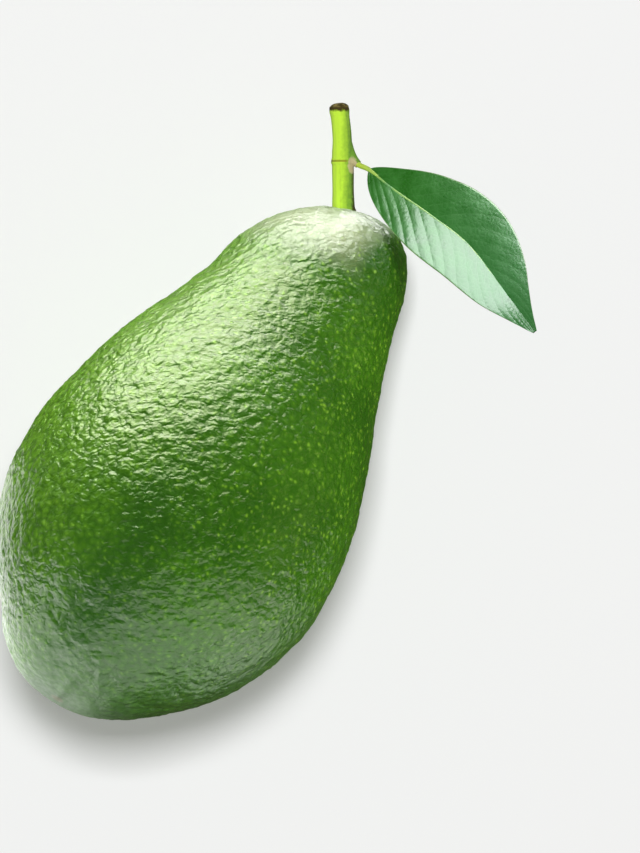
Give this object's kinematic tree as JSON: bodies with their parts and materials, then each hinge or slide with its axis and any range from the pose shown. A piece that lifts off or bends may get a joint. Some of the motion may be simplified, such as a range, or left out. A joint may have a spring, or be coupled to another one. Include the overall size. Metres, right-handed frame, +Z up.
{
  "type": "avocado",
  "caption": "Whole pear-shaped avocado with pebbled green skin, its cut twig and a folded leaf, lying on its side on a small flat spot.",
  "frame": {"origin": "middle of the small flat spot that the fruit lies on", "axes": "+Z up, +X along the fruit in plan from its blossom end to its stem end, +Y to its left"},
  "size_m": [0.1355, 0.0794, 0.0709],
  "materials": {
    "skin": "glossy pebbled green fruit skin with lime freckles, rounded bumps a little over a millimetre across",
    "twig": "smooth fresh yellow-green bark, dried brown at the cut end and in a thin ring at the node",
    "leaf_blade": "leathery deep green blade with a waxy gloss, pale midrib and fine side veins"
  },
  "bodies": {
    "root": {"fruit": "skin", "stem": "twig", "leaf": "leaf_blade"}
  },
  "joints": []
}
